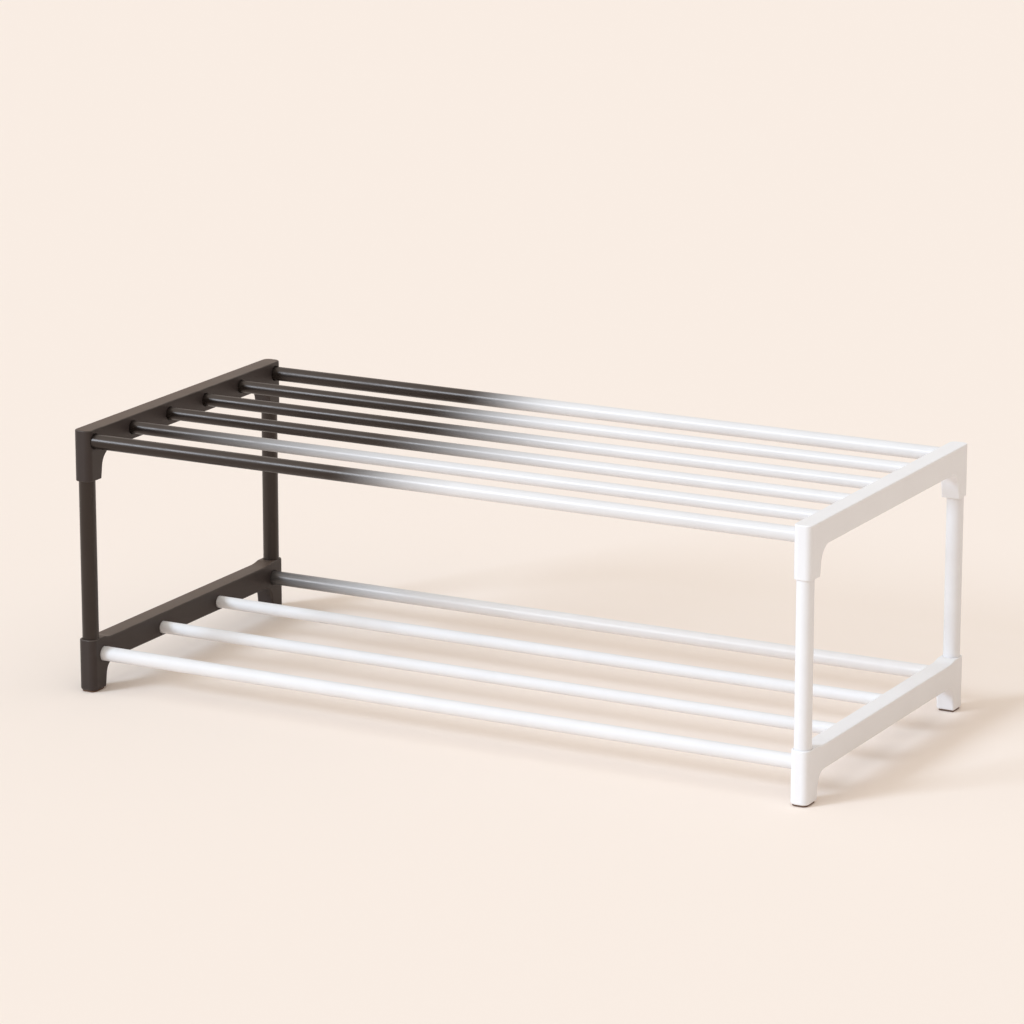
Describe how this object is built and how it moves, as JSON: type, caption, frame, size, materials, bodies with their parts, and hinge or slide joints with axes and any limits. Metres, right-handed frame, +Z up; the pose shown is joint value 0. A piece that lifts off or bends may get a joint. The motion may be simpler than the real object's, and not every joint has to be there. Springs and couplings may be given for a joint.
{
  "type": "shoe rack",
  "caption": "Low two-tier shoe rack: moulded end frames with tube posts, joined by round rods in an upper and a lower tier, standing on rubber foot pads.",
  "frame": {"origin": "on the floor, midway between the four posts", "axes": "+X along the rods towards the white end, -Y is the front, +Z is up"},
  "size_m": [0.7682, 0.3532, 0.2578],
  "materials": {
    "dark_plastic": "fine moulded grain, satin, anthracite",
    "white_plastic": "fine moulded grain, satin, white",
    "dark_paint": "powder coat, satin, anthracite",
    "white_paint": "powder coat, satin, white",
    "faded_paint": "powder coat, satin, fading from anthracite at the left to white at the right",
    "pad_rubber": "matt dark brown rubber"
  },
  "bodies": {
    "root": {"left_upper_rail": "dark_plastic", "left_lower_rail": "dark_plastic", "right_upper_rail": "white_plastic", "right_lower_rail": "white_plastic", "post_front_left": "dark_paint", "post_back_left": "dark_paint", "post_front_right": "white_paint", "post_back_right": "white_paint", "upper_rod_1": "faded_paint", "upper_rod_2": "faded_paint", "upper_rod_3": "faded_paint", "upper_rod_4": "faded_paint", "upper_rod_5": "faded_paint", "upper_rod_6": "faded_paint", "lower_rod_1": "white_paint", "lower_rod_2": "white_paint", "lower_rod_3": "white_paint", "lower_rod_4": "faded_paint", "foot_pad_front_left": "pad_rubber", "foot_pad_back_left": "pad_rubber", "foot_pad_front_right": "pad_rubber", "foot_pad_back_right": "pad_rubber"}
  },
  "joints": []
}
